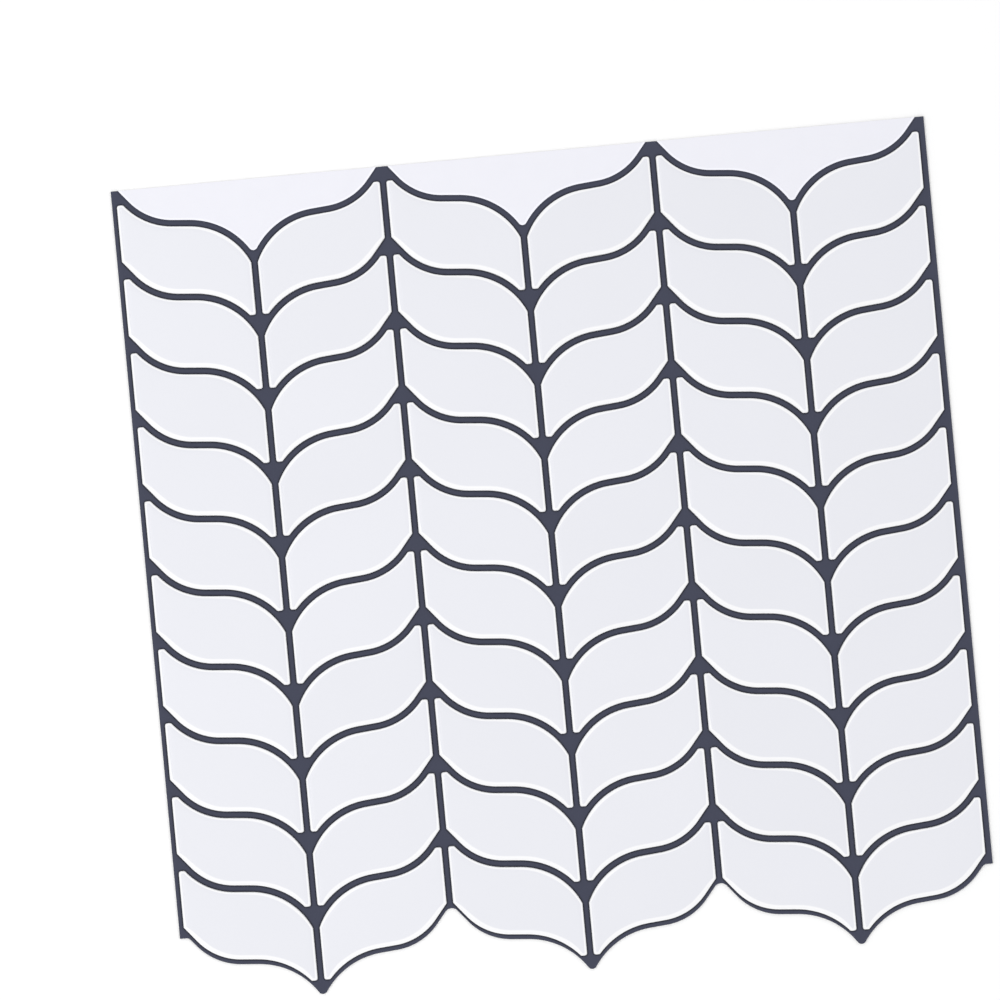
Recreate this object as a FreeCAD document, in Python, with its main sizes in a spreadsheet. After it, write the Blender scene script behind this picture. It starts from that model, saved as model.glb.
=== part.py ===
import FreeCAD, Part
import math
import os
import Sketcher
from FreeCAD import Rotation, Vector

# Self-adhesive wall sheet with sixty raised leaf pads, lying face up. All sizes are in millimetres
# and all angles in degrees.
#
# X runs across the columns, +Y points to the straight top edge and +Z comes out of the face. The
# origin is at the middle of the sheet's box, on the surface that the release liner rests on.
#
# The pads stand in columns of leaves. The joint between two rows is one S-shaped line in each
# column. It falls from a crest on one column line to a spine on the next: a straight stretch, a
# hollow bend, a nearly level waist and a crown bend. The next column has the same line mirrored, so
# crests and spines alternate. The edges of the pads are drawn beside this line, and the bottom edge
# of the sheet is cut along the lower edge of the last leaves, a little further down.

SIZES = [
    ("column_count", 6, "columns of leaf pads, always an even number"),
    ("row_count", 10, "leaf pads in a column"),
    ("column_pitch", 50.5, "from one column line to the next"),
    ("row_pitch", 27.73, "from one row of leaves to the next"),
    ("joint_width", 2.4, "bare film between two pads"),
    ("crest_slope", 50.6, "steepness of the straight stretch that starts at the crest"),
    ("crest_run", 0.7, "straight stretch between the square end of a leaf and the hollow bend"),
    ("hollow_radius", 23.8, "bend that flattens the joint"),
    ("waist_slope", 5.0, "steepness of the waist"),
    ("waist_run", 6.5, "straight, nearly level stretch in the middle of the leaf"),
    ("spine_slope", 66.8, "steepness at the spine, where the crown bend ends"),
    ("leaf_tip_width", 2.3, "square end of each pointed leaf corner"),
    ("pad_height", 1.6, "cast pad above the film"),
    ("side_slope", 60.0, "steepness of the sides of a pad"),
    ("pad_offset", 0.3, "pads and print to the left of the middle of the cut sheet"),
    ("crest_overshoot", 0.7, "crests of the first joint above the straight top edge"),
    ("side_border", 0.9, "film outside the outer column lines of the cut"),
    ("bottom_strip", 1.8, "bare film below the last leaves, measured down the sheet"),
    ("notch_round", 2.9, "radius in the notches of the bottom cut"),
    ("point_round", 1.8, "radius on the points of the bottom cut"),
    ("shoulder_drop", 0.5, "level ends of the bottom cut below the arcs of the notches"),
    ("shoulder_round", 1.2, "radius between a level end and the curved cut"),
    ("film_thickness", 0.5, "printed film"),
    ("liner_thickness", 0.15, "release liner on the adhesive"),
]

# Places and sizes that follow from the sheet of sizes, with the crest of the first joint at (0, 0)
HALF_JOINT = "Sizes.joint_width / 2"
NEAR_SIDE = "Sizes.joint_width / 2"
FAR_SIDE = "Sizes.column_pitch - Sizes.joint_width / 2"
HOLLOW_X = (
    "Sizes.joint_width / 2 + Sizes.leaf_tip_width + Sizes.crest_run * cos(Sizes.crest_slope)"
    " + (Sizes.hollow_radius + Sizes.joint_width / 2) * sin(Sizes.crest_slope)"
)
HOLLOW_Y = (
    f"Sizes.hollow_radius / cos(Sizes.crest_slope) - ({HOLLOW_X}) * tan(Sizes.crest_slope)"
)
WAIST_END = (
    f"{HOLLOW_X} - Sizes.hollow_radius * sin(Sizes.waist_slope)"
    " + Sizes.waist_run * cos(Sizes.waist_slope)"
)
CROWN_RADIUS = (
    f"(Sizes.column_pitch - ({WAIST_END})) / (sin(Sizes.spine_slope) - sin(Sizes.waist_slope))"
)
ALL_COLUMNS = "Sizes.column_count * Sizes.column_pitch"
ALL_ROWS = "Sizes.row_count * Sizes.row_pitch"
CUT_DROP = f"{ALL_ROWS} + Sizes.bottom_strip"
TOP_EDGE = "-Sizes.crest_overshoot"
CUT_CREST = f"Sizes.joint_width / 2 / cos(Sizes.crest_slope) - ({CUT_DROP})"
SHOULDER = (
    f"{CUT_CREST} - Sizes.notch_round * sin(Sizes.crest_slope) * tan(Sizes.crest_slope)"
    " - Sizes.shoulder_drop"
)
SHOULDER_REACH = "Sizes.notch_round + Sizes.shoulder_drop"

# Two places nearer than this are the same
SAME_PLACE = 1e-4

# Handles of a sketch's origin and of the points of an edge
ORIGIN = (-1, 1)
START, END, CENTRE = range(1, 4)


def write_sizes(document):
    """Fills the spreadsheet: the name, the number with its alias, and what it is."""
    sheet = document.addObject("Spreadsheet::Sheet", "Sizes")
    for row, (alias, number, meaning) in enumerate(SIZES, start=1):
        sheet.set(f"A{row}", alias)
        sheet.set(f"B{row}", str(number))
        sheet.setAlias(f"B{row}", alias)
        sheet.set(f"C{row}", meaning)
    document.recompute()
    return sheet


def value(expression):
    """Number that an expression of the sizes gives."""
    return float(sizes.evalExpression(expression))


def angle(expression):
    """Number of radians that an expression of the sizes gives."""
    return math.radians(value(expression))


def new_body(label):
    """Empty body with its own label, which may hold pads that don't touch each other."""
    body = doc.addObject("PartDesign::Body", label)
    body.Label = label
    body.AllowCompound = True
    return body


def new_sketch(body, name):
    """Sketch on the body's own XY plane."""
    sketch = body.newObject("Sketcher::SketchObject", f"{body.Name}_{name}")
    planes = [plane for plane in body.Origin.OriginFeatures if plane.Role == "XY_Plane"]
    sketch.AttachmentSupport = (planes[0], [""])
    sketch.MapMode = "FlatFace"
    return sketch


def join(sketch, kind, *places):
    """Adds a constraint without a size."""
    sketch.addConstraint(Sketcher.Constraint(kind, *places))


def bind(sketch, kind, *places, size):
    """Adds a dimension bound to an expression of the sizes."""
    number = angle(size) if kind == "Angle" else value(size)
    index = sketch.addConstraint(Sketcher.Constraint(kind, *places, number))
    sketch.setExpression(f"Constraints[{index}]", size)


def add_line(sketch, start, end, construction=False):
    """Adds a straight edge and returns its handle."""
    return sketch.addGeometry(Part.LineSegment(start, end), construction)


def add_arc(sketch, centre, radius, first, last):
    """Adds an arc that turns anticlockwise from one direction to another, in radians."""
    circle = Part.Circle(centre, Vector(0, 0, 1), radius)
    return sketch.addGeometry(Part.ArcOfCircle(circle, first, last), False)


def upward(slope):
    """Unit vector square to a stretch that falls to the right at this slope, in radians."""
    return Vector(math.sin(slope), math.cos(slope), 0)


class JointEdge:
    """Edge beside the joint's centre line, in a sketch, from the crest side to the spine side.

    shift is how far the edge lies below the centre line, and drop how far down the sheet the joint
    is, both as expressions. start_x and end_x are where the edge is cut off.
    """

    def __init__(self, sketch, shift, drop, start_x, end_x):
        crest = angle("Sizes.crest_slope")
        waist = angle("Sizes.waist_slope")
        hollow_radius = f"Sizes.hollow_radius + ({shift})"
        crown_radius = f"{CROWN_RADIUS} - ({shift})"
        hollow_y = f"{HOLLOW_Y} - ({drop})"

        # Points of the edge, from the crest to the spine
        hollow_centre = Vector(value(HOLLOW_X), value(hollow_y), 0)
        crest_end = hollow_centre - upward(crest) * value(hollow_radius)
        crest_rise = (crest_end.x - start_x) * math.tan(crest)
        self.start_point = Vector(start_x, crest_end.y + crest_rise, 0)
        waist_start = hollow_centre - upward(waist) * value(hollow_radius)
        along_waist = Vector(math.cos(waist), -math.sin(waist), 0)
        waist_end = waist_start + along_waist * value("Sizes.waist_run")
        self.crown_centre = waist_end - upward(waist) * value(crown_radius)
        self.crown_radius = value(crown_radius)
        end_slope = math.asin((end_x - self.crown_centre.x) / self.crown_radius)
        self.end_point = self.crown_centre + upward(end_slope) * self.crown_radius

        up = math.pi / 2
        self.crest = add_line(sketch, self.start_point, crest_end)
        hollow = add_arc(sketch, hollow_centre, value(hollow_radius), -up - crest, -up - waist)
        waist_line = add_line(sketch, waist_start, waist_end)
        self.crown = add_arc(
            sketch, self.crown_centre, self.crown_radius, up - end_slope, up - waist
        )

        join(sketch, "Tangent", self.crest, END, hollow, START)
        join(sketch, "Tangent", hollow, END, waist_line, START)
        join(sketch, "Tangent", waist_line, END, self.crown, END)
        bind(sketch, "DistanceX", *ORIGIN, hollow, CENTRE, size=HOLLOW_X)
        bind(sketch, "DistanceY", *ORIGIN, hollow, CENTRE, size=hollow_y)
        bind(sketch, "Radius", hollow, size=hollow_radius)
        bind(sketch, "Radius", self.crown, size=crown_radius)
        bind(sketch, "Angle", self.crest, size="-Sizes.crest_slope")
        bind(sketch, "Angle", waist_line, size="-Sizes.waist_slope")
        bind(sketch, "Distance", waist_line, size="Sizes.waist_run")


def draw_leaf(body):
    """Sketch of one leaf between two joints, with a square end on each of its pointed corners."""
    sketch = new_sketch(body, "outline")
    near = value(NEAR_SIDE)
    far = value(FAR_SIDE)
    tip = value("Sizes.leaf_tip_width")

    upper = JointEdge(sketch, HALF_JOINT, "0", near + tip, far)
    lower = JointEdge(sketch, f"-{HALF_JOINT}", "Sizes.row_pitch", near, far - tip)
    upper_corner = Vector(near, upper.start_point.y, 0)
    lower_corner = Vector(far, lower.end_point.y, 0)
    near_side = add_line(sketch, lower.start_point, upper_corner)
    upper_tip = add_line(sketch, upper_corner, upper.start_point)
    far_side = add_line(sketch, upper.end_point, lower_corner)
    lower_tip = add_line(sketch, lower_corner, lower.end_point)

    join(sketch, "Coincident", lower.crest, START, near_side, START)
    join(sketch, "Coincident", near_side, END, upper_tip, START)
    join(sketch, "Coincident", upper_tip, END, upper.crest, START)
    join(sketch, "Coincident", upper.crown, START, far_side, START)
    join(sketch, "Coincident", far_side, END, lower_tip, START)
    join(sketch, "Coincident", lower_tip, END, lower.crown, START)
    join(sketch, "Vertical", near_side)
    join(sketch, "Horizontal", upper_tip)
    join(sketch, "Vertical", far_side)
    join(sketch, "Horizontal", lower_tip)
    bind(sketch, "DistanceX", *ORIGIN, near_side, START, size=NEAR_SIDE)
    bind(sketch, "DistanceX", *ORIGIN, far_side, START, size=FAR_SIDE)
    bind(sketch, "DistanceX", upper_tip, START, upper_tip, END, size="Sizes.leaf_tip_width")
    bind(sketch, "DistanceX", lower_tip, END, lower_tip, START, size="Sizes.leaf_tip_width")
    doc.recompute()
    return sketch


def add_pad(body, sketch, thickness, name, downwards=False):
    """Raises a closed outline to a thickness."""
    pad = body.newObject("PartDesign::Pad", f"{body.Name}_{name}")
    pad.Profile = sketch
    pad.setExpression("Length", thickness)
    pad.Reversed = downwards
    doc.recompute()
    return pad


def base_face(shape):
    """Name of the face that lies on the sketch plane."""
    heights = [abs(face.CenterOfMass.z) for face in shape.Faces]
    return f"Face{heights.index(min(heights)) + 1}"


def side_faces(shape):
    """Names of the faces that stand on the sketch plane."""
    faces = enumerate(shape.Faces, start=1)
    return [f"Face{index}" for index, face in faces if face.BoundBox.ZLength > SAME_PLACE]


def place(body, along, height):
    """Sets where a body's joint frame stands on the sheet: across from the left end, and up."""
    body.setExpression("Placement.Base.x", f"{along} - {ALL_COLUMNS} / 2")
    body.setExpression("Placement.Base.z", height)


def make_leaf_column(number):
    """One column of cast leaf pads, with sides that lean inwards. Every second column is mirrored.

    A mirrored column is turned over about its Y axis, so its pads are built downwards.
    """
    body = new_body(f"leaf_pads_column_{number}")
    mirrored = number % 2 == 0
    sketch = draw_leaf(body)
    leaf = add_pad(body, sketch, "Sizes.pad_height", "leaf", downwards=mirrored)

    sides = body.newObject("PartDesign::Draft", f"{body.Name}_sides")
    sides.Base = (leaf, side_faces(leaf.Shape))
    sides.NeutralPlane = (leaf, [base_face(leaf.Shape)])
    sides.setExpression("Angle", "90 - Sizes.side_slope")
    sides.Reversed = mirrored
    doc.recompute()

    rows = body.newObject("PartDesign::LinearPattern", f"{body.Name}_rows")
    rows.TransformMode = "Whole shape"
    rows.Direction = (sketch, ["V_Axis"])
    rows.Reversed = True
    rows.Mode = "Spacing"
    rows.setExpression("Offset", "Sizes.row_pitch")
    rows.setExpression("Occurrences", "Sizes.row_count")
    body.Tip = rows

    crest_line = number if mirrored else number - 1
    along = f"{crest_line} * Sizes.column_pitch - Sizes.pad_offset"
    place(body, along, "Sizes.liner_thickness + Sizes.film_thickness")
    if mirrored:
        body.Placement.Rotation = Rotation(Vector(0, 1, 0), 180)
    return body


def draw_half_chevron(body):
    """Sketch of one column of the sheet, from the top edge to the bottom cut, and its lowest point.

    The sheet's other columns are this one mirrored about the spine, and repeated.
    """
    sketch = new_sketch(body, "half_chevron")
    pitch = value("Sizes.column_pitch")
    top = value(TOP_EDGE)
    notch_round = value("Sizes.notch_round")
    point_round = value("Sizes.point_round")
    crest = angle("Sizes.crest_slope")
    up = math.pi / 2

    # The notch's arc touches the stretch at the crest, and the point's arc touches the crown bend
    notch_centre = Vector(0, value(CUT_CREST) - notch_round / math.cos(crest), 0)
    notch_touch = notch_centre + upward(crest) * notch_round
    cut = JointEdge(sketch, f"-{HALF_JOINT}", CUT_DROP, notch_touch.x, pitch - point_round)
    across = pitch - cut.crown_centre.x
    rise = math.sqrt((cut.crown_radius + point_round) ** 2 - across ** 2)
    point_centre = Vector(pitch, cut.crown_centre.y + rise, 0)
    point_touch = math.atan2(rise, across) - math.pi
    lowest = point_centre - Vector(0, point_round, 0)

    top_edge = add_line(sketch, Vector(0, top, 0), Vector(pitch, top, 0))
    spine = add_line(sketch, Vector(pitch, top, 0), lowest)
    point = add_arc(sketch, point_centre, point_round, point_touch, -up)
    notch = add_arc(sketch, notch_centre, notch_round, up - crest, up)
    column_line = add_line(sketch, notch_centre + Vector(0, notch_round, 0), Vector(0, top, 0))
    mirror_line = add_line(sketch, Vector(pitch, top, 0), Vector(pitch, 0, 0), construction=True)

    join(sketch, "Coincident", top_edge, END, spine, START)
    join(sketch, "Coincident", spine, END, point, END)
    join(sketch, "Tangent", point, START, cut.crown, START)
    join(sketch, "Tangent", cut.crest, START, notch, START)
    join(sketch, "Coincident", notch, END, column_line, START)
    join(sketch, "Coincident", column_line, END, top_edge, START)
    join(sketch, "Horizontal", top_edge)
    join(sketch, "Vertical", spine)
    join(sketch, "Vertical", column_line)
    join(sketch, "Vertical", *ORIGIN, column_line, END)
    join(sketch, "Vertical", *ORIGIN, notch, CENTRE)
    join(sketch, "PointOnObject", point, CENTRE, spine)
    join(sketch, "Coincident", mirror_line, START, top_edge, END)
    join(sketch, "Vertical", mirror_line)
    join(sketch, "Horizontal", *ORIGIN, mirror_line, END)
    bind(sketch, "Distance", top_edge, size="Sizes.column_pitch")
    bind(sketch, "DistanceY", *ORIGIN, top_edge, START, size=TOP_EDGE)
    bind(sketch, "Radius", notch, size="Sizes.notch_round")
    bind(sketch, "Radius", point, size="Sizes.point_round")
    doc.recompute()
    return sketch, lowest


def draw_border(body, name, outer_x, inner_x):
    """Sketch of the strip of film at one side, down to the level end of the bottom cut."""
    sketch = new_sketch(body, name)
    corners = [
        Vector(value(outer_x), value(TOP_EDGE), 0),
        Vector(value(outer_x), value(SHOULDER), 0),
        Vector(value(inner_x), value(SHOULDER), 0),
        Vector(value(inner_x), value(TOP_EDGE), 0),
    ]
    sides = [add_line(sketch, corners[i - 1], corners[i]) for i in range(4)]
    for i in range(4):
        join(sketch, "Coincident", sides[i - 1], END, sides[i], START)
    top, outer, level_end, inner = sides
    join(sketch, "Horizontal", top)
    join(sketch, "Vertical", outer)
    join(sketch, "Horizontal", level_end)
    join(sketch, "Vertical", inner)
    bind(sketch, "DistanceX", *ORIGIN, outer, START, size=outer_x)
    bind(sketch, "DistanceX", *ORIGIN, inner, START, size=inner_x)
    bind(sketch, "DistanceY", *ORIGIN, outer, START, size=TOP_EDGE)
    bind(sketch, "DistanceY", *ORIGIN, outer, END, size=SHOULDER)
    doc.recompute()
    return sketch


def inner_corners(shape):
    """Names of the upright edges where a level end meets the curved cut, on both sides."""
    level = value(SHOULDER)
    reach = value(SHOULDER_REACH)
    names = []
    for index, edge in enumerate(shape.Edges, start=1):
        first, last = (vertex.Point for vertex in edge.Vertexes)
        upright = abs(first.z - last.z) > abs(first.x - last.x) + abs(first.y - last.y)
        inside = min(first.x, value(ALL_COLUMNS) - first.x)
        if upright and abs(first.y - level) < SAME_PLACE and 0 < inside < reach:
            names.append(f"Edge{index}")
    return names


def make_sheet_layer(label, thickness, height):
    """One full layer of the sheet with the cut outline, and its lowest point on the sheet."""
    body = new_body(label)
    sketch, lowest = draw_half_chevron(body)
    half = add_pad(body, sketch, thickness, "half")

    chevrons = body.newObject("PartDesign::MultiTransform", f"{label}_chevrons")
    chevrons.Originals = [half]
    mirrored = body.newObject("PartDesign::Mirrored", f"{label}_mirrored")
    mirrored.MirrorPlane = (sketch, ["Axis0"])
    repeated = body.newObject("PartDesign::LinearPattern", f"{label}_repeated")
    repeated.Direction = (sketch, ["H_Axis"])
    repeated.Mode = "Spacing"
    repeated.setExpression("Offset", "2 * Sizes.column_pitch")
    repeated.setExpression("Occurrences", "Sizes.column_count / 2")
    chevrons.Transformations = [mirrored, repeated]
    body.Tip = chevrons
    doc.recompute()

    left = draw_border(body, "left_border", "-Sizes.side_border", SHOULDER_REACH)
    add_pad(body, left, thickness, "left")
    right_outer = f"{ALL_COLUMNS} + Sizes.side_border"
    right = draw_border(body, "right_border", right_outer, f"{ALL_COLUMNS} - ({SHOULDER_REACH})")
    whole = add_pad(body, right, thickness, "right")

    shoulders = body.newObject("PartDesign::Fillet", f"{label}_shoulders")
    shoulders.Base = (whole, inner_corners(whole.Shape))
    shoulders.setExpression("Radius", "Sizes.shoulder_round")
    place(body, "0", height)
    return body, lowest


def check_objects():
    """Stops when an object of the document has failed."""
    for item in doc.Objects:
        if "Invalid" in item.State or "Error" in item.State:
            raise RuntimeError(f"{item.Label} failed: {item.State}")


def export(bodies):
    """Writes each piece to its own file, once its shape has been checked."""
    os.makedirs("parts", exist_ok=True)
    for body in bodies:
        if body.Shape.isNull() or not body.Shape.isValid():
            raise RuntimeError(f"{body.Label} has no valid shape")
        body.Shape.exportStep(f"parts/{body.Label}.step")


doc = FreeCAD.newDocument("leaf_wall_sheet")
sizes = write_sizes(doc)
liner, lowest_point = make_sheet_layer("release_liner", "Sizes.liner_thickness", "0")
film, lowest_point = make_sheet_layer("base_film", "Sizes.film_thickness", "Sizes.liner_thickness")
columns = [make_leaf_column(number) for number in range(1, int(value("Sizes.column_count")) + 1)]
pieces = [liner, film] + columns

# The middle of the sheet's box is halfway between its straight top edge and its lowest points
for piece in pieces:
    piece.Placement.Base.y = -(value(TOP_EDGE) + lowest_point.y) / 2
doc.recompute()
check_objects()
export(pieces)
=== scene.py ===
import math

import bmesh
import bpy
import numpy as np
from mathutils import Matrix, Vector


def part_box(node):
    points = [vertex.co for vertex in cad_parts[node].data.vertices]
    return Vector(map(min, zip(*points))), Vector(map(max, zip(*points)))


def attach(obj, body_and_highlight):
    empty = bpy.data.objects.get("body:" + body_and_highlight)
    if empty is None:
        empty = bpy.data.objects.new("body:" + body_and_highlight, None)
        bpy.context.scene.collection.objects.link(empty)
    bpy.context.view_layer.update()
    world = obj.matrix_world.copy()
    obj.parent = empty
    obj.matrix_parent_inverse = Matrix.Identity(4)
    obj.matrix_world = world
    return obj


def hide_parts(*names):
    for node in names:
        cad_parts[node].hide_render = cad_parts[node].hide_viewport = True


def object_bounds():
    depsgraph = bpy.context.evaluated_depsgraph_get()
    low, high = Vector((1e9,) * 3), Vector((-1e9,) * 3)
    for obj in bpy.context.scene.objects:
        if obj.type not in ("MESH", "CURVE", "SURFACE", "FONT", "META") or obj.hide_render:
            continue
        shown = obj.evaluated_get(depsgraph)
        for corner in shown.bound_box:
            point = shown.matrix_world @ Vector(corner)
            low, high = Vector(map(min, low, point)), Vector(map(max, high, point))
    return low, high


# A peel-and-stick wall sheet with raised leaf pads, lying face up on a pale floor. Lengths are in
# metres and angles in radians. X runs across the columns, +Y points to the straight top edge and +Z
# comes out of the face. A joint is the bare film between two rows of pads. Its centre line falls from
# a crest on one column line to a spine on the next, and every second column is mirrored.

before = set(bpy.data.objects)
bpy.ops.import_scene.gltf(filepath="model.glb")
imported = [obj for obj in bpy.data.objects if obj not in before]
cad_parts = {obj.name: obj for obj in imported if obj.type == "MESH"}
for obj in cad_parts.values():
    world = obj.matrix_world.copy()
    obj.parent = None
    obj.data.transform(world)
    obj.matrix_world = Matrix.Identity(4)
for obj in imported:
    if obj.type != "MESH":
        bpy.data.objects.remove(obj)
cad_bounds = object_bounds()

MM = 0.001

# Driving sizes of the leaf pattern
COLUMN_COUNT = 6
ROW_COUNT = 10
ROW_PITCH = 27.73 * MM
HALF_JOINT = 1.2 * MM
CREST_SLOPE = math.radians(50.6)
CREST_RUN = 0.7 * MM
HOLLOW_RADIUS = 23.8 * MM
WAIST_SLOPE = math.radians(5.0)
WAIST_RUN = 6.5 * MM
SPINE_SLOPE = math.radians(66.8)
LEAF_TIP_WIDTH = 2.3 * MM

# Form of a cast pad: a steep wall, a gentle bevel and a faint crown, all run together
WALL_WIDTH = 0.12 * MM
WALL_HEIGHT = 1.1 * MM
BEVEL_WIDTH = 1.75 * MM
CROWN_RISE = 0.06 * MM
CROWN_INSET = 7.0 * MM
CROWN_STEPS = 4

# How much the pads differ in height and in tone, and the step from one column's seed to the next
HEIGHT_SPREAD = 0.02
TONE_SPREAD = 0.008
SEED_STEP = 20

# Shares of the lines before and after a bend of the section that the bend takes
BROW_SHARES = (0.3, 0.25)
SHOULDER_SHARES = (0.3, 0.1)
BEND_STEPS = 5

# Rounded corners of a pad. A tip's arc keeps to a share of the tip, and a side's arc shrinks inwards.
TIP_ROUND = 1.0 * MM
TIP_ROUND_SHARE = 0.65
SIDE_ROUND = 0.5 * MM
SIDE_ROUND_LOSS = 0.3
SIDE_ROUND_LEAST = 0.1 * SIDE_ROUND

# Width in millimetres of the rim's painted highlight, at stations from 0 to 1 along an edge of a pad,
# anticlockwise. It is widest on the lower edges and narrow on the sides, after how the light falls on
# each edge.
UPPER_HIGHLIGHT = [(0.0, 0.8), (0.15, 1.32), (0.3, 1.35), (0.6, 0.82), (1.0, 0.8)]
LOWER_HIGHLIGHT = [(0.0, 1.2), (0.05, 1.68), (0.17, 2.1), (0.45, 1.82), (0.9, 1.9), (0.96, 1.6), (1.0, 1.2)]
CREST_SIDE_HIGHLIGHT = [(0.0, 0.85), (0.75, 0.85), (1.0, 1.2)]
SPINE_SIDE_HIGHLIGHT = [(0.0, 1.0), (0.25, 0.85), (1.0, 0.8)]
UPPER_TIP_HIGHLIGHT = [(0.0, UPPER_HIGHLIGHT[-1][1]), (1.0, CREST_SIDE_HIGHLIGHT[0][1])]
LOWER_TIP_HIGHLIGHT = [(0.0, LOWER_HIGHLIGHT[-1][1]), (1.0, SPINE_SIDE_HIGHLIGHT[0][1])]

# The painted highlight widths of a leaf's six sides, in the order that leaf_sides gives them
HIGHLIGHT_WIDTHS = [UPPER_TIP_HIGHLIGHT, CREST_SIDE_HIGHLIGHT, LOWER_HIGHLIGHT, LOWER_TIP_HIGHLIGHT, SPINE_SIDE_HIGHLIGHT, UPPER_HIGHLIGHT]

# Points along the parts of a pad's outline
EDGE_POINTS = 72
DENSE_POINTS = 4 * EDGE_POINTS
SIDE_POINTS = 6
TIP_POINTS = 3
CORNER_POINTS = 5

# The cut outline of the film and the lower end of its white print
SIDE_BORDER = 0.9 * MM
BOTTOM_STRIP = 1.8 * MM
NOTCH_ROUND = 2.9 * MM
POINT_ROUND = 1.8 * MM
SHOULDER_DROP = 0.95 * MM
SHOULDER_BEND = 1.0 * MM
END_SPREAD = 0.7 * MM
END_REACH = 25.0 * MM
WHITE_POINT_ROUND = 1.65 * MM
PRINT_EDGE = 1.0 * MM

# Stations across the film, and the number of decimals of a metre that tells two of them apart
STATION_STEP = 0.5 * MM
FINE_STEP = 0.1 * MM
FINE_REACH = 4.0 * MM
STATION_DIGITS = 5

# Limits of the meshes: a length taken for none, a weld and the turn from which an edge is sharp
NO_LENGTH = 1e-9
WELD = 0.001 * MM
SHARP_TURN = math.radians(50)

# Colours of the finishes and of the stage
GEL_FACE = (0.777, 0.783, 0.831, 1)
# The gel's rim colour is a painted highlight, whiter than its face, in place of light on the rounded
# rim
GEL_RIM_HIGHLIGHT = (0.915, 0.915, 0.928, 1)
# The gel's line colour is a darker painted line within the rim's painted highlight
GEL_HIGHLIGHT_DARK_LINE = (0.88, 0.88, 0.9, 1)
GREY_PRINT = (0.053, 0.0575, 0.088, 1)
WHITE_PRINT = (0.826, 0.826, 0.886, 1)
PAPER = (0.86, 0.84, 0.79, 1)
FLOOR = (0.97, 0.97, 0.97, 1)

# Tones of the gel by the distance from its edge, where 1 is the width of the rim's painted highlight.
# The highlight has a darker painted line in it, and the gel's own face colour lies beyond.
GEL_FACE_AND_HIGHLIGHT_TONES = [
    (0.0, GEL_RIM_HIGHLIGHT),
    (0.36, GEL_RIM_HIGHLIGHT),
    (0.45, GEL_HIGHLIGHT_DARK_LINE),
    (0.54, GEL_RIM_HIGHLIGHT),
    (0.78, GEL_RIM_HIGHLIGHT),
    (1.1, GEL_FACE),
]

# Share of the width of a print's edge that keeps its full tone
PRINT_EDGE_START = 0.45

# Painted shade at the foot of the pads, from ambient occlusion: its reach, the openness at which it is
# darkest and its samples
CONTACT_SHADE_REACH = 0.9 * MM
CONTACT_SHADE_OPENNESS = 0.5
CONTACT_SHADE_SAMPLES = 8

# Stage and view
FLOOR_REACH = 4.0
FLOOR_GAP = 0.05 * MM
WORLD_LIGHT = 0.797
CAMERA_LENS = 200.0
CAMERA_SENSOR = 36.0
CAMERA_X = -18.27 * MM
CAMERA_Y = 24.73 * MM
CAMERA_TURN = math.radians(-5.305)
VIEW_WIDTH = 373.38 * MM

# Places that come from the frame
film_low, film_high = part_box("base_film")
first_low, first_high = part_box("leaf_pads_column_1")
last_low, last_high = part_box(f"leaf_pads_column_{COLUMN_COUNT}")
PAD_LEFT = first_low.x - HALF_JOINT
PAD_RIGHT = last_high.x + HALF_JOINT
PITCH = (PAD_RIGHT - PAD_LEFT) / COLUMN_COUNT
FILM_LEFT = film_low.x + SIDE_BORDER
PAD_HEIGHT = first_high.z - first_low.z
CREST_Y = (
    first_high.y
    + (HALF_JOINT + LEAF_TIP_WIDTH) * math.tan(CREST_SLOPE)
    + HALF_JOINT / math.cos(CREST_SLOPE)
)
CUT_DROP = ROW_COUNT * ROW_PITCH + BOTTOM_STRIP

# The joint's centre line, with its crest at (0, 0)
HOLLOW_X = (
    HALF_JOINT
    + LEAF_TIP_WIDTH
    + CREST_RUN * math.cos(CREST_SLOPE)
    + (HOLLOW_RADIUS + HALF_JOINT) * math.sin(CREST_SLOPE)
)
HOLLOW_Y = HOLLOW_RADIUS / math.cos(CREST_SLOPE) - HOLLOW_X * math.tan(CREST_SLOPE)
WAIST_START_X = HOLLOW_X - HOLLOW_RADIUS * math.sin(WAIST_SLOPE)
WAIST_START_Y = HOLLOW_Y - HOLLOW_RADIUS * math.cos(WAIST_SLOPE)
WAIST_END_X = WAIST_START_X + WAIST_RUN * math.cos(WAIST_SLOPE)
WAIST_END_Y = WAIST_START_Y - WAIST_RUN * math.sin(WAIST_SLOPE)
CROWN_RADIUS = (PITCH - WAIST_END_X) / (math.sin(SPINE_SLOPE) - math.sin(WAIST_SLOPE))
CROWN_X = WAIST_END_X - CROWN_RADIUS * math.sin(WAIST_SLOPE)
CROWN_Y = WAIST_END_Y - CROWN_RADIUS * math.cos(WAIST_SLOPE)


def joint_height(x, shift):
    """Height of the edge that lies beside the joint's centre line, this far below it."""
    hollow_radius = HOLLOW_RADIUS + shift
    crown_radius = CROWN_RADIUS - shift
    if x < HOLLOW_X - hollow_radius * math.sin(CREST_SLOPE):
        return -x * math.tan(CREST_SLOPE) - shift / math.cos(CREST_SLOPE)
    if x < HOLLOW_X - hollow_radius * math.sin(WAIST_SLOPE):
        return HOLLOW_Y - math.sqrt(hollow_radius ** 2 - (x - HOLLOW_X) ** 2)
    if x < CROWN_X + crown_radius * math.sin(WAIST_SLOPE):
        rise = WAIST_START_Y - shift / math.cos(WAIST_SLOPE)
        return rise - (x - WAIST_START_X) * math.tan(WAIST_SLOPE)
    return CROWN_Y + math.sqrt(crown_radius ** 2 - (x - CROWN_X) ** 2)


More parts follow.
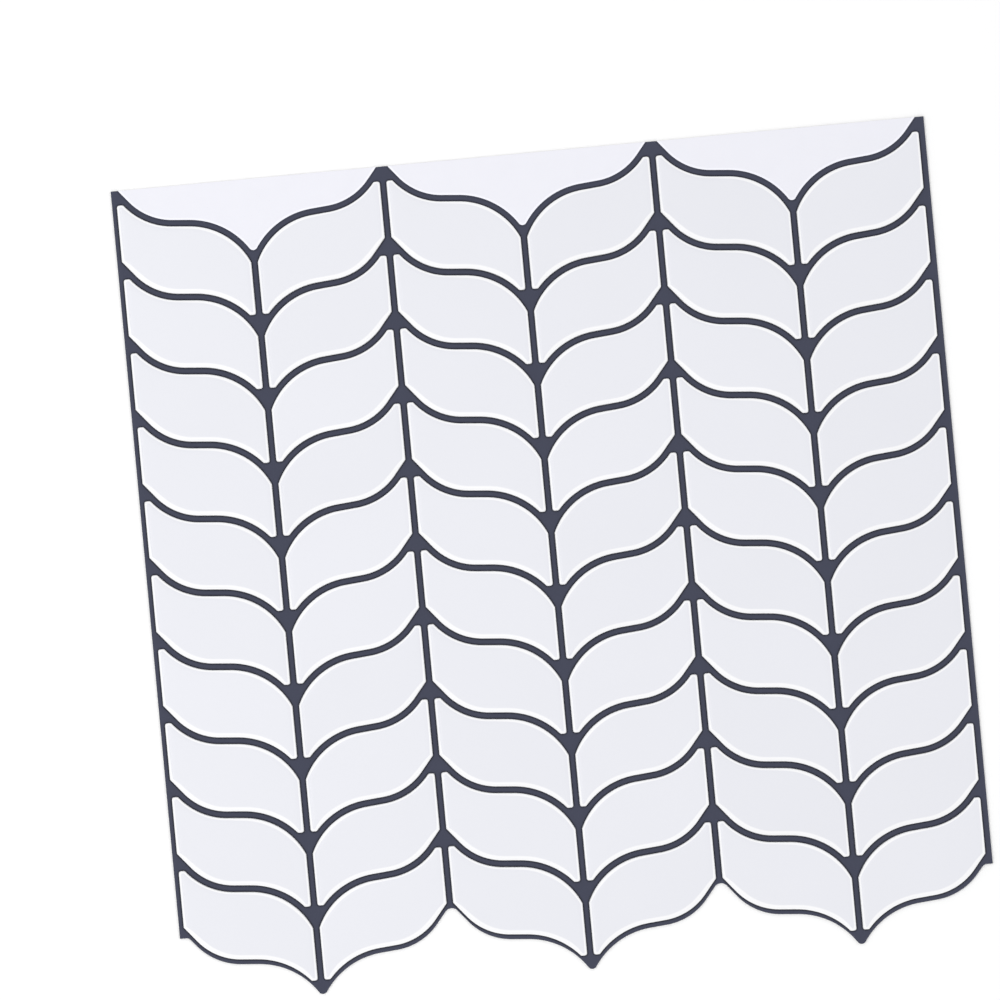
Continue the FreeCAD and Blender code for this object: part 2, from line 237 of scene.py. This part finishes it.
def pointed_height(x, shift, point_round):
    """Height of an edge beside the joint, with its point at the spine rounded."""
    crown_radius = CROWN_RADIUS - shift
    across = PITCH - CROWN_X
    rise = math.sqrt((crown_radius + point_round) ** 2 - across ** 2)
    touch_x = PITCH - point_round * across / (crown_radius + point_round)
    if x < touch_x:
        return joint_height(x, shift)
    return CROWN_Y + rise - math.sqrt(point_round ** 2 - (PITCH - x) ** 2)


def resample(line, cut_start, cut_end, count):
    """Evenly spaced points of a line, once a length has been cut off at each end."""
    steps = np.linalg.norm(np.diff(line, axis=0), axis=1)
    along = np.concatenate([[0.0], np.cumsum(steps)])
    wanted = np.linspace(cut_start, along[-1] - cut_end, count)
    x = np.interp(wanted, along, line[:, 0])
    y = np.interp(wanted, along, line[:, 1])
    return np.column_stack([x, y])


def edge_line(start_x, end_x, shift, drop):
    """Dense line along the edge beside a joint."""
    stations = np.linspace(start_x, end_x, DENSE_POINTS)
    return np.array([[x, joint_height(x, shift) - drop] for x in stations])


def corner_cut(before, corner, after, radius):
    """Length that an arc of this radius takes off each of the two sides that meet at a corner."""
    back = before - corner
    forth = after - corner
    back_length = np.linalg.norm(back)
    forth_length = np.linalg.norm(forth)
    if min(back_length, forth_length) < NO_LENGTH:
        return 0.0
    half_angle = 0.5 * math.acos(np.dot(back, forth) / (back_length * forth_length))
    return radius / math.tan(half_angle)


def leaf_sides(inset):
    """The six sides of a leaf this far inside its outline, anticlockwise from its upper tip."""
    near = HALF_JOINT + inset
    far = PITCH - near
    shift = HALF_JOINT + inset
    upper_level = joint_height(HALF_JOINT + LEAF_TIP_WIDTH, HALF_JOINT) - inset
    upper_level = min(upper_level, joint_height(near, shift))
    upper_x = -(upper_level + shift / math.cos(CREST_SLOPE)) / math.tan(CREST_SLOPE)
    upper_x = max(upper_x, near)
    lower_level = joint_height(PITCH - HALF_JOINT - LEAF_TIP_WIDTH, -HALF_JOINT) + inset
    lower_level = max(lower_level, joint_height(far, -shift))
    lower_x = CROWN_X + math.sqrt((CROWN_RADIUS + shift) ** 2 - (lower_level - CROWN_Y) ** 2)
    lower_x = min(lower_x, far)
    upper_edge = edge_line(far, upper_x, shift, 0.0)
    lower_edge = edge_line(near, lower_x, -shift, ROW_PITCH)
    upper_corner = np.array([near, upper_level])
    lower_corner = np.array([far, lower_level - ROW_PITCH])
    return [
        np.array([upper_edge[-1], upper_corner]),
        np.array([upper_corner, lower_edge[0]]),
        lower_edge,
        np.array([lower_edge[-1], lower_corner]),
        np.array([lower_corner, upper_edge[0]]),
        upper_edge,
    ]


def bend(before, corner, after, steps):
    """Points of a soft bend that rounds a corner, without its two ends."""
    points = []
    for step in range(1, steps):
        t = step / steps
        points.append((1 - t) ** 2 * before + 2 * t * (1 - t) * corner + t ** 2 * after)
    return points


def corner_cuts(sides, inset):
    """Length that the arc at the start of each side of a leaf takes off the sides beside it."""
    tips = [np.linalg.norm(side[1] - side[0]) for side in (sides[0], sides[3])]
    tip_radius = min(TIP_ROUND, *[TIP_ROUND_SHARE * tip for tip in tips])
    side_radius = max(SIDE_ROUND - SIDE_ROUND_LOSS * inset, SIDE_ROUND_LEAST)
    radii = [tip_radius, tip_radius, side_radius] * 2
    cuts = []
    for i, radius in enumerate(radii):
        cuts.append(corner_cut(sides[i - 1][-2], sides[i][0], sides[i][1], radius))
    return cuts


def leaf_outline(inset):
    """Closed outline of a leaf this far inside its edge, with the width of the rim's painted highlight
    at each point.

    Every inset gives the same number of points.
    """
    sides = leaf_sides(inset)
    cuts = corner_cuts(sides, inset)
    counts = [TIP_POINTS, SIDE_POINTS, EDGE_POINTS] * 2
    lines = []
    for i, side in enumerate(sides):
        lines.append(resample(side, cuts[i], cuts[(i + 1) % len(sides)], counts[i]))
    outline = []
    for i, line in enumerate(lines):
        corner = bend(lines[i - 1][-1], sides[i][0], line[0], CORNER_POINTS)
        for step, point in enumerate(corner, start=1):
            share = step / CORNER_POINTS
            outline.append((point, HIGHLIGHT_WIDTHS[i - 1][-1][1] * (1 - share) + HIGHLIGHT_WIDTHS[i][0][1] * share))
        places, widths = zip(*HIGHLIGHT_WIDTHS[i])
        outline.extend(zip(line, np.interp(np.linspace(0, 1, counts[i]), places, widths)))
    return outline


def pad_section():
    """Inset and height of each outline of a pad, from the film to the middle of its top."""
    foot = np.array([0.0, 0.0])
    brow = np.array([WALL_WIDTH, WALL_HEIGHT])
    shoulder = np.array([BEVEL_WIDTH, PAD_HEIGHT - CROWN_RISE])
    centre = np.array([CROWN_INSET, PAD_HEIGHT])
    brow_start = brow + BROW_SHARES[0] * (foot - brow)
    brow_end = brow + BROW_SHARES[1] * (shoulder - brow)
    shoulder_start = shoulder + SHOULDER_SHARES[0] * (brow - shoulder)
    shoulder_end = shoulder + SHOULDER_SHARES[1] * (centre - shoulder)
    section = [foot, 0.5 * (foot + brow_start), brow_start]
    section.extend(bend(brow_start, brow, brow_end, BEND_STEPS))
    section.extend([brow_end, 0.5 * (brow_end + shoulder_start), shoulder_start])
    section.extend(bend(shoulder_start, shoulder, shoulder_end, BEND_STEPS))
    for step in range(CROWN_STEPS + 1):
        share = step / CROWN_STEPS
        section.append(shoulder_end + share * (centre - shoulder_end))
    return section


def mesh_object(name, mesh):
    """New object in the scene that holds a mesh."""
    piece = bpy.data.objects.new(name, mesh)
    bpy.context.scene.collection.objects.link(piece)
    return piece


def finish_mesh(name, shape):
    """Mesh of a closed shape, once its double points are welded and its faces turned outwards."""
    bmesh.ops.remove_doubles(shape, verts=shape.verts, dist=WELD)
    bmesh.ops.recalc_face_normals(shape, faces=shape.faces)
    mesh = bpy.data.meshes.new(name)
    shape.to_mesh(mesh)
    shape.free()
    return mesh


def make_leaf_mesh(mirrored):
    """One cast pad on the floor plane, with the crest of its upper joint at the origin."""
    side = -1 if mirrored else 1
    shape = bmesh.new()
    rim_highlight_layer = shape.verts.layers.float.new("rim_highlight")
    rings = []
    for inset, height in pad_section():
        ring = []
        for (x, y), highlight_width in leaf_outline(inset):
            vertex = shape.verts.new((side * x, y, height))
            # Place within the rim's painted highlight, where 1 is its inner end
            vertex[rim_highlight_layer] = inset / (highlight_width * MM)
            ring.append(vertex)
        rings.append(ring)
    for lower, upper in zip(rings, rings[1:]):
        for i in range(len(lower)):
            shape.faces.new((lower[i - 1], lower[i], upper[i], upper[i - 1]))
    shape.faces.new(reversed(rings[0]))
    shape.faces.new(rings[-1])
    mesh = finish_mesh("leaf_mirrored" if mirrored else "leaf", shape)
    mesh.shade_smooth()
    mesh.set_sharp_from_angle(angle=SHARP_TURN)
    return mesh


def build_column_tree():
    """Geometry Nodes that repeat one pad down a column, each with its own height and tone."""
    tree = bpy.data.node_groups.new("Pad Column", "GeometryNodeTree")
    interface = tree.interface
    interface.new_socket("Pad", in_out="INPUT", socket_type="NodeSocketGeometry")
    for label, kind in (
        ("Rows", "NodeSocketInt"),
        ("Row Pitch", "NodeSocketFloat"),
        ("Height Spread", "NodeSocketFloat"),
        ("Seed", "NodeSocketInt"),
        ("First Place", "NodeSocketVector"),
        ("Material", "NodeSocketMaterial"),
    ):
        interface.new_socket(label, in_out="INPUT", socket_type=kind)
    interface.new_socket("Column", in_out="OUTPUT", socket_type="NodeSocketGeometry")
    nodes = tree.nodes
    links = tree.links

    given = nodes.new("NodeGroupInput")
    down = nodes.new("ShaderNodeMath")
    down.operation = "MULTIPLY"
    down.inputs[1].default_value = -1.0
    links.new(given.outputs["Row Pitch"], down.inputs[0])
    step = nodes.new("ShaderNodeCombineXYZ")
    links.new(down.outputs[0], step.inputs["Y"])
    line = nodes.new("GeometryNodeMeshLine")
    line.mode = "OFFSET"
    links.new(given.outputs["Rows"], line.inputs["Count"])
    links.new(given.outputs["First Place"], line.inputs["Start Location"])
    links.new(step.outputs[0], line.inputs["Offset"])

    least = nodes.new("ShaderNodeMath")
    least.operation = "SUBTRACT"
    least.inputs[0].default_value = 1.0
    links.new(given.outputs["Height Spread"], least.inputs[1])
    height = nodes.new("FunctionNodeRandomValue")
    height.data_type = "FLOAT"
    height.inputs[3].default_value = 1.0
    links.new(least.outputs[0], height.inputs[2])
    links.new(given.outputs["Seed"], height.inputs["Seed"])
    scale = nodes.new("ShaderNodeCombineXYZ")
    scale.inputs["X"].default_value = 1.0
    scale.inputs["Y"].default_value = 1.0
    links.new(height.outputs[1], scale.inputs["Z"])

    place = nodes.new("GeometryNodeInstanceOnPoints")
    links.new(line.outputs["Mesh"], place.inputs["Points"])
    links.new(given.outputs["Pad"], place.inputs["Instance"])
    links.new(scale.outputs[0], place.inputs["Scale"])

    next_seed = nodes.new("ShaderNodeMath")
    next_seed.operation = "ADD"
    next_seed.inputs[1].default_value = 1.0
    links.new(given.outputs["Seed"], next_seed.inputs[0])
    tone = nodes.new("FunctionNodeRandomValue")
    tone.data_type = "FLOAT"
    links.new(next_seed.outputs[0], tone.inputs["Seed"])
    store = nodes.new("GeometryNodeStoreNamedAttribute")
    store.data_type = "FLOAT"
    store.domain = "INSTANCE"
    store.inputs["Name"].default_value = "pad_tone"
    links.new(place.outputs["Instances"], store.inputs["Geometry"])
    links.new(tone.outputs[1], store.inputs["Value"])

    realize = nodes.new("GeometryNodeRealizeInstances")
    links.new(store.outputs["Geometry"], realize.inputs["Geometry"])
    finish = nodes.new("GeometryNodeSetMaterial")
    links.new(realize.outputs["Geometry"], finish.inputs["Geometry"])
    links.new(given.outputs["Material"], finish.inputs["Material"])
    result = nodes.new("NodeGroupOutput")
    links.new(finish.outputs["Geometry"], result.inputs["Column"])
    return tree


def run_tree(name, mesh, tree, values):
    """Plain mesh object that a node tree makes from a mesh."""
    source = mesh_object(f"{name}_source", mesh)
    modifier = source.modifiers.new("Column", "NODES")
    modifier.node_group = tree
    for item in tree.interface.items_tree:
        if item.item_type == "SOCKET" and item.name in values:
            modifier[item.identifier] = values[item.name]
    bpy.context.view_layer.update()
    evaluated = source.evaluated_get(bpy.context.evaluated_depsgraph_get())
    result = bpy.data.meshes.new_from_object(evaluated)
    result.name = name
    source.modifiers.remove(modifier)
    bpy.data.objects.remove(source)
    return mesh_object(name, result)


def make_pad_columns(material):
    """The six columns of cast pads, in place of the plain solids."""
    tree = build_column_tree()
    for number in range(1, COLUMN_COUNT + 1):
        mirrored = number % 2 == 0
        crest_line = number if mirrored else number - 1
        place = (PAD_LEFT + crest_line * PITCH, CREST_Y, first_low.z)
        values = {
            "Rows": ROW_COUNT,
            "Row Pitch": ROW_PITCH,
            "Height Spread": HEIGHT_SPREAD,
            "Seed": SEED_STEP * number,
            "First Place": place,
            "Material": material,
        }
        column = run_tree(f"cast_pads_{number}", make_leaf_mesh(mirrored), tree, values)
        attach(column, "root")
        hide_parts(f"leaf_pads_column_{number}")


def chevron_place(x, left):
    """Distance from the nearest crest line, where the outer crest line on the left is at this x."""
    place = (x - left) % (2 * PITCH)
    return min(place, 2 * PITCH - place)


def soft_minimum(first, second, reach):
    """The lesser of two heights, with a soft bend where they differ by less than the reach."""
    nearness = max(0.0, 1 - abs(first - second) / reach)
    return min(first, second) - 0.25 * reach * nearness ** 2


def cut_height(x):
    """Height of the bottom cut at this place across the film.

    Near the film's sides the cut spreads a little outwards and ends in a level shoulder.
    """
    crest_y = CREST_Y - CUT_DROP
    notch_y = crest_y + (HALF_JOINT - NOTCH_ROUND) / math.cos(CREST_SLOPE)
    level = notch_y + NOTCH_ROUND * math.cos(CREST_SLOPE) - SHOULDER_DROP
    inside = min(x - FILM_LEFT, -FILM_LEFT - x)
    place = chevron_place(x, FILM_LEFT) + END_SPREAD * max(0.0, 1 - inside / END_REACH)
    if place < NOTCH_ROUND * math.sin(CREST_SLOPE):
        height = notch_y + math.sqrt(NOTCH_ROUND ** 2 - place ** 2)
    else:
        height = crest_y + pointed_height(place, -HALF_JOINT, POINT_ROUND)
    if inside > END_REACH:
        return height
    return soft_minimum(level, height, SHOULDER_BEND)


def white_end_height(x):
    """Height where the white print ends, which lies above the film where there is none."""
    place = chevron_place(x, PAD_LEFT)
    return CREST_Y + pointed_height(place, -HALF_JOINT, WHITE_POINT_ROUND)


def film_stations():
    """Places across the film, close together where its edges turn."""
    count = round((film_high.x - film_low.x) / STATION_STEP)
    stations = list(np.linspace(film_low.x, film_high.x, count + 1))
    steps = np.arange(-FINE_REACH, FINE_REACH, FINE_STEP)
    for line in range(COLUMN_COUNT + 1):
        for left in (FILM_LEFT, PAD_LEFT):
            stations.extend(left + line * PITCH + steps)
    inside = [x for x in stations if film_low.x <= x <= film_high.x]
    return sorted({round(x, STATION_DIGITS) for x in inside})


def film_section(x):
    """Points round the film at this place, with how far each is from the white print's end.

    The distance is 0 at the end of the print and 1 from the width of its edge on.
    """
    top = film_high.y
    cut = cut_height(x)
    end = white_end_height(x)
    slope = (white_end_height(x + FINE_STEP) - white_end_height(x - FINE_STEP)) / (2 * FINE_STEP)
    reach = PRINT_EDGE * math.hypot(1, slope)
    heights = (top, min(end + reach, top), min(end, top), min(end - reach, top), cut)
    section = [(x, y, film_high.z) for y in heights]
    section.extend([(x, cut, film_low.z), (x, top, film_low.z)])
    return [(point, min(abs(point[1] - end) / reach, 1.0)) for point in section]


def make_film(grey, white):
    """The die-cut film with its grey and white print, in place of the plain solid."""
    shape = bmesh.new()
    edge_layer = shape.verts.layers.float.new("print_edge")
    sections = []
    for x in film_stations():
        section = []
        for point, distance in film_section(x):
            vertex = shape.verts.new(point)
            vertex[edge_layer] = distance
            section.append(vertex)
        sections.append(section)
    # The first three faces of a strip are its cut side at +Y and its front above the white print's end
    for left, right in zip(sections, sections[1:]):
        white_here = min(left[2].co.y, right[2].co.y) < film_high.y
        for i in range(len(left)):
            face = shape.faces.new((left[i - 1], left[i], right[i], right[i - 1]))
            face.material_index = 1 if i < 3 and white_here else 0
    shape.faces.new(sections[0])
    shape.faces.new(reversed(sections[-1]))
    mesh = finish_mesh("film", shape)
    mesh.materials.append(grey)
    mesh.materials.append(white)
    film = mesh_object("film_with_print", mesh)
    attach(film, "root")
    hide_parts("base_film")


def finish_liner(paper):
    """The release liner keeps its plain solid, with the paper's material."""
    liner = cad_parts["release_liner"]
    liner.data.materials.clear()
    liner.data.materials.append(paper)


def new_group(name, inputs, outputs):
    """Empty shader node group with its named sockets."""
    group = bpy.data.node_groups.new(name, "ShaderNodeTree")
    for label, kind in inputs:
        group.interface.new_socket(label, in_out="INPUT", socket_type=kind)
    for label, kind in outputs:
        group.interface.new_socket(label, in_out="OUTPUT", socket_type=kind)
    return group, group.nodes.new("NodeGroupInput"), group.nodes.new("NodeGroupOutput")


def add_noise(tree, scale, detail):
    """Noise in an object's own space, at a scale that comes from a socket."""
    place = tree.nodes.new("ShaderNodeTexCoord")
    noise = tree.nodes.new("ShaderNodeTexNoise")
    noise.inputs["Detail"].default_value = detail
    tree.links.new(place.outputs["Object"], noise.inputs["Vector"])
    tree.links.new(scale, noise.inputs["Scale"])
    return noise.outputs["Fac"]


def add_shade(tree, color, tone):
    """A socket's colour, made lighter or darker by another socket's value."""
    shade = tree.nodes.new("ShaderNodeVectorMath")
    shade.operation = "SCALE"
    tree.links.new(color, shade.inputs[0])
    tree.links.new(tone, shade.inputs["Scale"])
    return shade.outputs[0]


def add_attribute(tree, name):
    """Value that the mesh keeps at its points under this name."""
    attribute = tree.nodes.new("ShaderNodeAttribute")
    attribute.attribute_name = name
    return attribute.outputs["Fac"]


def build_mottle_group():
    """Slow, soft change of tone over a surface."""
    group, given, result = new_group(
        "Mottle",
        [
            ("Color", "NodeSocketColor"),
            ("Scale", "NodeSocketFloat"),
            ("Depth", "NodeSocketFloat"),
        ],
        [("Color", "NodeSocketColor")],
    )
    centred = group.nodes.new("ShaderNodeMath")
    centred.operation = "SUBTRACT"
    centred.inputs[1].default_value = 0.5
    group.links.new(add_noise(group, given.outputs["Scale"], detail=3.0), centred.inputs[0])
    tone = group.nodes.new("ShaderNodeMath")
    tone.operation = "MULTIPLY_ADD"
    tone.inputs[2].default_value = 1.0
    group.links.new(centred.outputs[0], tone.inputs[0])
    group.links.new(given.outputs["Depth"], tone.inputs[1])
    shade = add_shade(group, given.outputs["Color"], tone.outputs[0])
    group.links.new(shade, result.inputs["Color"])
    return group


def build_grain_group():
    """Fine unevenness of a surface, as a normal."""
    group, given, result = new_group(
        "Fine Grain",
        [
            ("Scale", "NodeSocketFloat"),
            ("Strength", "NodeSocketFloat"),
            ("Depth", "NodeSocketFloat"),
        ],
        [("Normal", "NodeSocketVector")],
    )
    bump = group.nodes.new("ShaderNodeBump")
    group.links.new(given.outputs["Strength"], bump.inputs["Strength"])
    group.links.new(given.outputs["Depth"], bump.inputs["Distance"])
    group.links.new(add_noise(group, given.outputs["Scale"], detail=4.0), bump.inputs["Height"])
    group.links.new(bump.outputs["Normal"], result.inputs["Normal"])
    return group


def build_contact_shade_group():
    """Painted shade: a darker tone where a surface meets what stands on it, from ambient occlusion."""
    group, given, result = new_group(
        "Contact Shade",
        [
            ("Color", "NodeSocketColor"),
            ("Reach", "NodeSocketFloat"),
            ("Shade", "NodeSocketFloat"),
        ],
        [("Color", "NodeSocketColor")],
    )
    nearness = group.nodes.new("ShaderNodeAmbientOcclusion")
    nearness.samples = CONTACT_SHADE_SAMPLES
    group.links.new(given.outputs["Reach"], nearness.inputs["Distance"])
    tone = group.nodes.new("ShaderNodeMapRange")
    tone.inputs["From Min"].default_value = CONTACT_SHADE_OPENNESS
    tone.inputs["To Max"].default_value = 1.0
    group.links.new(nearness.outputs["AO"], tone.inputs["Value"])
    group.links.new(given.outputs["Shade"], tone.inputs["To Min"])
    shade = add_shade(group, given.outputs["Color"], tone.outputs["Result"])
    group.links.new(shade, result.inputs["Color"])
    return group


def place_group(material, group, values):
    """Places a shared node group in a material and sets its inputs."""
    node = material.node_tree.nodes.new("ShaderNodeGroup")
    node.node_tree = group
    for label, value in values.items():
        node.inputs[label].default_value = value
    return node


def new_material(name, roughness, ior):
    """Material with a Principled shader, whose uniform values are set on its own sockets."""
    material = bpy.data.materials.new(name)
    material.use_nodes = True
    shader = material.node_tree.nodes["Principled BSDF"]
    shader.inputs["Roughness"].default_value = roughness
    shader.inputs["IOR"].default_value = ior
    return material, shader


def make_gel_material(mottle, grain):
    """Cast white gel: satin gloss, with a painted highlight along its thin rim."""
    material, shader = new_material("cast_gel", roughness=0.25, ior=1.5)
    tree = material.node_tree
    # Painted highlight: the base colour turns whiter towards the pad's edge, in place of light on its
    # rounded rim
    rim_highlight = tree.nodes.new("ShaderNodeMapRange")
    rim_highlight.inputs["From Max"].default_value = GEL_FACE_AND_HIGHLIGHT_TONES[-1][0]
    tree.links.new(add_attribute(tree, "rim_highlight"), rim_highlight.inputs["Value"])
    body_and_highlight = tree.nodes.new("ShaderNodeValToRGB")
    body_and_highlight.color_ramp.interpolation = "EASE"
    # A new ramp has two stops, and the others are added to it
    stops = body_and_highlight.color_ramp.elements
    for number, (distance, color) in enumerate(GEL_FACE_AND_HIGHLIGHT_TONES):
        position = distance / GEL_FACE_AND_HIGHLIGHT_TONES[-1][0]
        stop = stops[number] if number < 2 else stops.new(position)
        stop.position = position
        stop.color = color
    tree.links.new(rim_highlight.outputs["Result"], body_and_highlight.inputs["Fac"])
    spread = tree.nodes.new("ShaderNodeMapRange")
    spread.inputs["To Min"].default_value = 1 - TONE_SPREAD
    spread.inputs["To Max"].default_value = 1 + TONE_SPREAD
    tree.links.new(add_attribute(tree, "pad_tone"), spread.inputs["Value"])
    soft = place_group(material, mottle, {"Scale": 30.0, "Depth": 0.02})
    shade = add_shade(tree, body_and_highlight.outputs["Color"], spread.outputs["Result"])
    tree.links.new(shade, soft.inputs["Color"])
    tree.links.new(soft.outputs["Color"], shader.inputs["Base Color"])
    skin = place_group(material, grain, {"Scale": 90.0, "Strength": 0.25, "Depth": 0.05 * MM})
    tree.links.new(skin.outputs["Normal"], shader.inputs["Normal"])
    return material


def make_print_material(name, groups, color, roughness, unevenness, edge_tone):
    """Matte print on the film, with a tone of its own along the end of the white print and painted
    shade where the pads stand on it.
    """
    mottle, grain, contact_shade = groups
    material, shader = new_material(name, roughness=roughness, ior=1.45)
    shader.inputs["Specular IOR Level"].default_value = 0.2
    tree = material.node_tree
    ink = place_group(material, mottle, {"Color": color, "Scale": 120.0, "Depth": unevenness})
    tone = tree.nodes.new("ShaderNodeMapRange")
    tone.interpolation_type = "SMOOTHSTEP"
    tone.inputs["From Min"].default_value = PRINT_EDGE_START
    tone.inputs["To Min"].default_value = edge_tone
    tree.links.new(add_attribute(tree, "print_edge"), tone.inputs["Value"])
    # Painted shade that darkens the print at the foot of the pads
    foot = place_group(material, contact_shade, {"Reach": CONTACT_SHADE_REACH, "Shade": 0.0})
    shade = add_shade(tree, ink.outputs["Color"], tone.outputs["Result"])
    tree.links.new(shade, foot.inputs["Color"])
    tree.links.new(foot.outputs["Color"], shader.inputs["Base Color"])
    skin = place_group(material, grain, {"Scale": 1500.0, "Strength": 0.3, "Depth": 0.03 * MM})
    tree.links.new(skin.outputs["Normal"], shader.inputs["Normal"])
    return material


def make_paper_material(mottle, grain):
    """Coated paper of the release liner."""
    material, shader = new_material("liner_paper", roughness=0.6, ior=1.45)
    tree = material.node_tree
    paper = place_group(material, mottle, {"Color": PAPER, "Scale": 60.0, "Depth": 0.05})
    tree.links.new(paper.outputs["Color"], shader.inputs["Base Color"])
    fibres = place_group(material, grain, {"Scale": 900.0, "Strength": 0.4, "Depth": 0.03 * MM})
    tree.links.new(fibres.outputs["Normal"], shader.inputs["Normal"])
    return material


def make_floor():
    """Pale floor that keeps the sheet's shadow and shows white around it."""
    mesh = bpy.data.meshes.new("floor")
    corners = []
    for x, y in ((-1, -1), (1, -1), (1, 1), (-1, 1)):
        corners.append((FLOOR_REACH * x, FLOOR_REACH * y, 0))
    mesh.from_pydata(corners, [], [(0, 1, 2, 3)])
    floor = mesh_object("floor", mesh)
    floor.location.z = cad_bounds[0][2] - FLOOR_GAP
    material, shader = new_material("floor_paint", roughness=0.9, ior=1.3)
    shader.inputs["Base Color"].default_value = FLOOR
    shader.inputs["Specular IOR Level"].default_value = 0.0
    mesh.materials.append(material)


def make_world():
    """White surroundings, with plain light of their own strength."""
    world = bpy.data.worlds.new("studio")
    bpy.context.scene.world = world
    world.use_nodes = True
    nodes = world.node_tree.nodes
    links = world.node_tree.links
    light_path = nodes.new("ShaderNodeLightPath")
    seen = light_path.outputs["Is Camera Ray"]
    for ray in ("Is Glossy Ray", "Is Transmission Ray"):
        either = nodes.new("ShaderNodeMath")
        either.operation = "MAXIMUM"
        links.new(seen, either.inputs[0])
        links.new(light_path.outputs[ray], either.inputs[1])
        seen = either.outputs[0]
    strength = nodes.new("ShaderNodeMapRange")
    strength.name = "strength"
    strength.inputs["To Min"].default_value = WORLD_LIGHT
    strength.inputs["To Max"].default_value = 1.0
    links.new(seen, strength.inputs["Value"])
    background = nodes["Background"]
    background.inputs["Color"].default_value = (1, 1, 1, 1)
    links.new(strength.outputs["Result"], background.inputs["Strength"])


def add_softbox(name, azimuth, elevation, distance, width, height, watts):
    """Large soft lamp that points at the sheet. Azimuth is measured from +X towards +Y."""
    lamp = bpy.data.lights.new(name, "AREA")
    lamp.shape = "RECTANGLE"
    lamp.size = width
    lamp.size_y = height
    lamp.energy = watts
    lamp_object = bpy.data.objects.new(name, lamp)
    bpy.context.scene.collection.objects.link(lamp_object)
    flat = distance * math.cos(elevation)
    x = flat * math.cos(azimuth)
    y = flat * math.sin(azimuth)
    lamp_object.location = (x, y, distance * math.sin(elevation))
    turn = 0.5 * math.pi - elevation
    lamp_object.rotation_euler = (turn, 0, azimuth + 0.5 * math.pi)
    lamp_object.visible_camera = False
    return lamp_object


def add_lamps():
    """Two large lamps, and a nearer one on the left that the gel's gloss doesn't show."""
    large = {"distance": 3.0, "width": 3.0, "height": 1.6}
    add_softbox("front", azimuth=math.radians(-90), elevation=math.radians(35), watts=1.8, **large)
    add_softbox("right", azimuth=math.radians(0), elevation=math.radians(45), watts=7.6, **large)
    small = {"distance": 1.2, "width": 0.9, "height": 0.6, "watts": 4.0}
    left = add_softbox("left", azimuth=math.radians(180), elevation=math.radians(62), **small)
    left.visible_glossy = False


def add_camera():
    """Camera straight above the sheet, turned and offset as in the photograph."""
    data = bpy.data.cameras.new("camera")
    data.lens = CAMERA_LENS
    data.sensor_width = CAMERA_SENSOR
    camera = bpy.data.objects.new("camera", data)
    bpy.context.scene.collection.objects.link(camera)
    distance = VIEW_WIDTH * CAMERA_LENS / CAMERA_SENSOR
    camera.location = (CAMERA_X, CAMERA_Y, film_high.z + distance)
    camera.rotation_euler = (0, 0, CAMERA_TURN)
    bpy.context.scene.camera = camera


mottle_group = build_mottle_group()
grain_group = build_grain_group()
print_groups = (mottle_group, grain_group, build_contact_shade_group())
gel = make_gel_material(mottle_group, grain_group)
grey_print = make_print_material(
    "grey_print", print_groups, GREY_PRINT, roughness=0.5, unevenness=0.12, edge_tone=0.75
)
white_print = make_print_material(
    "white_print", print_groups, WHITE_PRINT, roughness=0.4, unevenness=0.025, edge_tone=1.09
)

make_pad_columns(gel)
make_film(grey_print, white_print)
finish_liner(make_paper_material(mottle_group, grain_group))

make_floor()
make_world()
add_lamps()
add_camera()
bpy.context.scene.view_settings.view_transform = "Standard"
